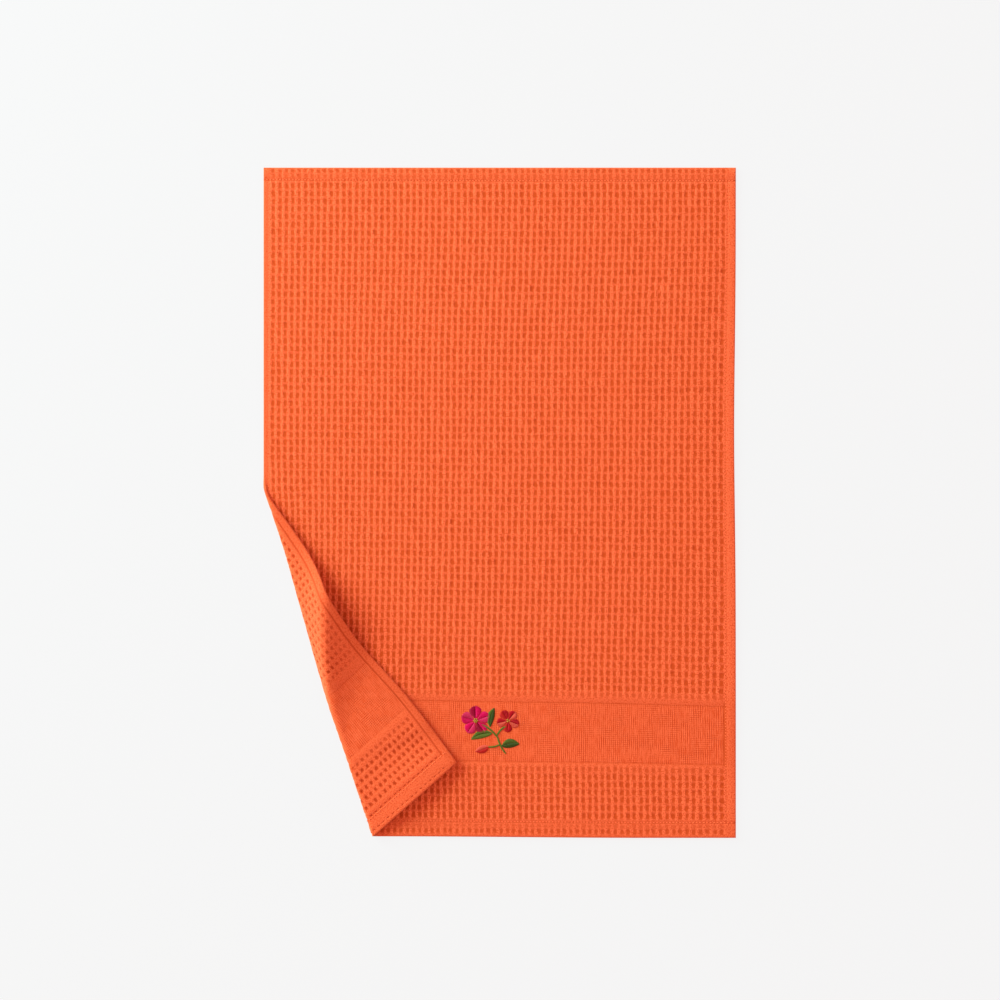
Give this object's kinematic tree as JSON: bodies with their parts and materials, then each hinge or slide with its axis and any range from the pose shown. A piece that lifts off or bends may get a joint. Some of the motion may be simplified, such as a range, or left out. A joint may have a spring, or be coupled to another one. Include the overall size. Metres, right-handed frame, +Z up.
{
  "type": "kitchen towel",
  "caption": "Rectangular waffle-weave kitchen towel lying flat, with hemmed edges, a plain woven band near the lower end and its lower left corner folded over to the front.",
  "frame": {"origin": "under the middle of the towel's outline, on the surface that it lies on", "axes": "+Z up from the surface, +Y along the length away from the plain band, +X across the width to the right"},
  "size_m": [0.4968, 0.704, 0.0289],
  "materials": {
    "waffle_cotton": "orange cotton, waffle woven with a plain woven band, soft and matt",
    "sewing_thread": "orange polyester sewing thread in the hems",
    "embroidery_thread": "lustrous embroidery thread in crimson, magenta, pink, red, coral, greens and gold"
  },
  "bodies": {
    "root": {"towel": "waffle_cotton"}
  },
  "joints": []
}
